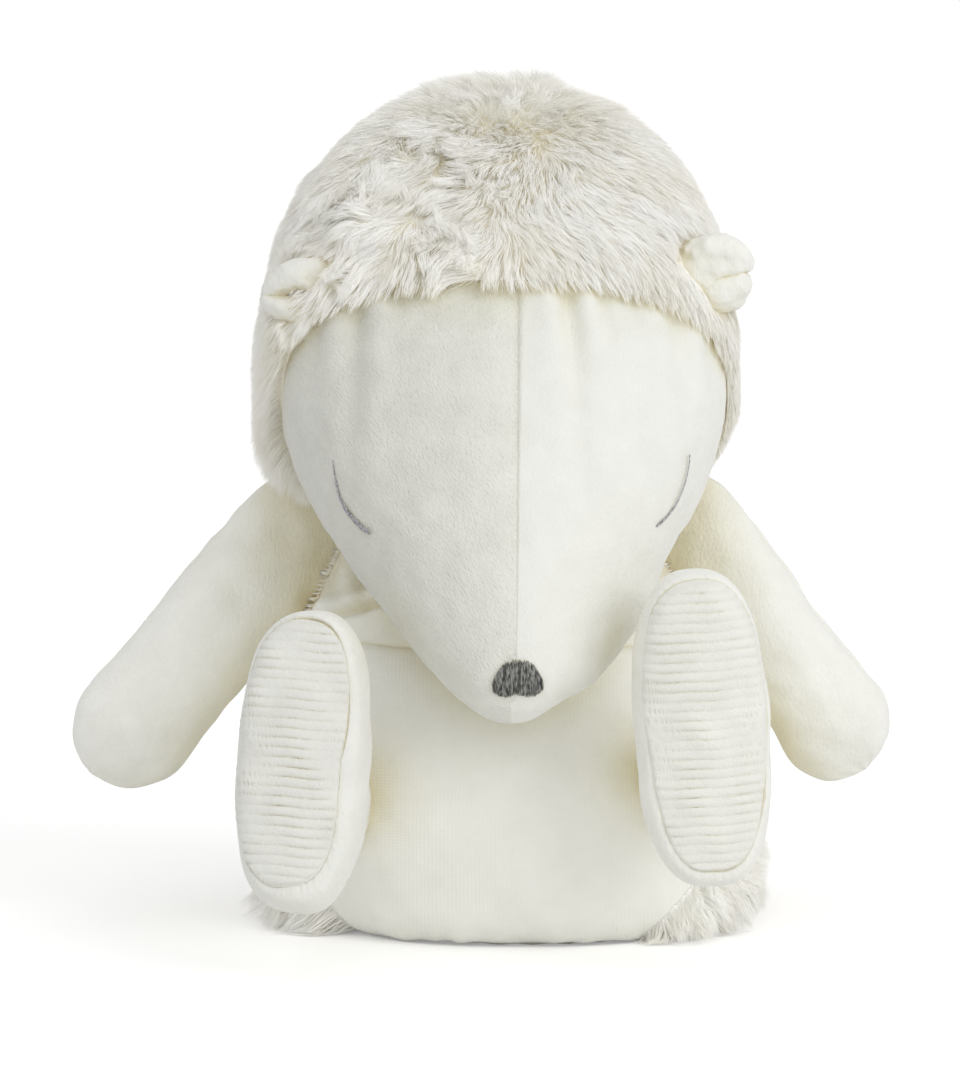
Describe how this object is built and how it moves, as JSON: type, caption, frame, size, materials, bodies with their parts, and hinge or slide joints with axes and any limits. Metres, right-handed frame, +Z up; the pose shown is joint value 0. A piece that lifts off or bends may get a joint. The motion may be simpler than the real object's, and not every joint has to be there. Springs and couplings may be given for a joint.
{
  "type": "plush hedgehog",
  "caption": "Seated stuffed hedgehog: fur hood and back, pointed velour face bowed over the belly, stitched nose and closed eyes, long arms, ribbed soles facing forward.",
  "frame": {"origin": "middle of the flat base on which the toy sits", "axes": "+Z up, -Y forward, out of the face and belly, +X to the right of the picture"},
  "size_m": [0.2586, 0.2016, 0.2571],
  "materials": {
    "velour": "short brushed velour, matte",
    "fur": "long pile fur, its tips combed one way",
    "knit": "fine knit, ribbed on the soles",
    "filling": "loose polyester fibre",
    "lining": "plain woven cloth",
    "pellets": "packed bean pellets",
    "grey_thread": "satin stitch, slight sheen",
    "lilac_thread": "satin stitch, slight sheen"
  },
  "bodies": {
    "torso": {"base_panel": "lining", "belly_panel": "knit", "chest_yoke": "velour", "back_fur_panel": "fur", "pouch_upper_cloth": "lining", "pouch_lower_cloth": "lining", "pellet_fill": "pellets", "body_stuffing": "filling"},
    "head": {"head_stuffing": "filling", "head_fur_hood": "fur", "chin_panel": "velour", "face_panel_left": "velour", "face_panel_right": "velour", "ear_left_outer": "velour", "ear_left_inner": "velour", "ear_right_outer": "velour", "ear_right_inner": "velour", "nose_embroidery": "grey_thread", "eye_stitch_left": "lilac_thread", "eye_stitch_right": "lilac_thread"},
    "arm_left": {"arm_left_front_panel": "velour", "arm_left_back_panel": "velour", "arm_left_stuffing": "filling"},
    "arm_right": {"arm_right_front_panel": "velour", "arm_right_back_panel": "velour", "arm_right_stuffing": "filling"},
    "leg_left": {"leg_left_sleeve": "velour", "foot_left_wall": "velour", "sole_left": "knit", "leg_left_stuffing": "filling"},
    "leg_right": {"leg_right_sleeve": "velour", "foot_right_wall": "velour", "sole_right": "knit", "leg_right_stuffing": "filling"}
  },
  "joints": [
    {"name": "head_nod", "type": "hinge", "parent": "torso", "child": "head", "pos_m": [-0.0055, 0.005, 0.196], "axis": [-0.9996, -0.0297, 0], "range_deg": [0, 20]},
    {"name": "arm_left_swing", "type": "hinge", "parent": "torso", "child": "arm_left", "pos_m": [-0.0665, -0.002, 0.125], "axis": [0.274, 0, 0.9617], "range_deg": [-20, 35], "stiffness_Nm_per_rad": 0.1},
    {"name": "arm_right_swing", "type": "hinge", "parent": "torso", "child": "arm_right", "pos_m": [0.0532, -0.002, 0.125], "axis": [0.3567, 0, -0.9342], "range_deg": [-20, 35], "stiffness_Nm_per_rad": 0.1},
    {"name": "leg_left_swing", "type": "hinge", "parent": "torso", "child": "leg_left", "pos_m": [-0.0605, -0.061, 0.044], "axis": [0.9978, -0.0663, 0], "range_deg": [-10, 12], "stiffness_Nm_per_rad": 0.4},
    {"name": "leg_right_swing", "type": "hinge", "parent": "torso", "child": "leg_right", "pos_m": [0.0525, -0.0625, 0.054], "axis": [0.999, 0.0436, 0], "range_deg": [-10, 15], "stiffness_Nm_per_rad": 0.4}
  ]
}
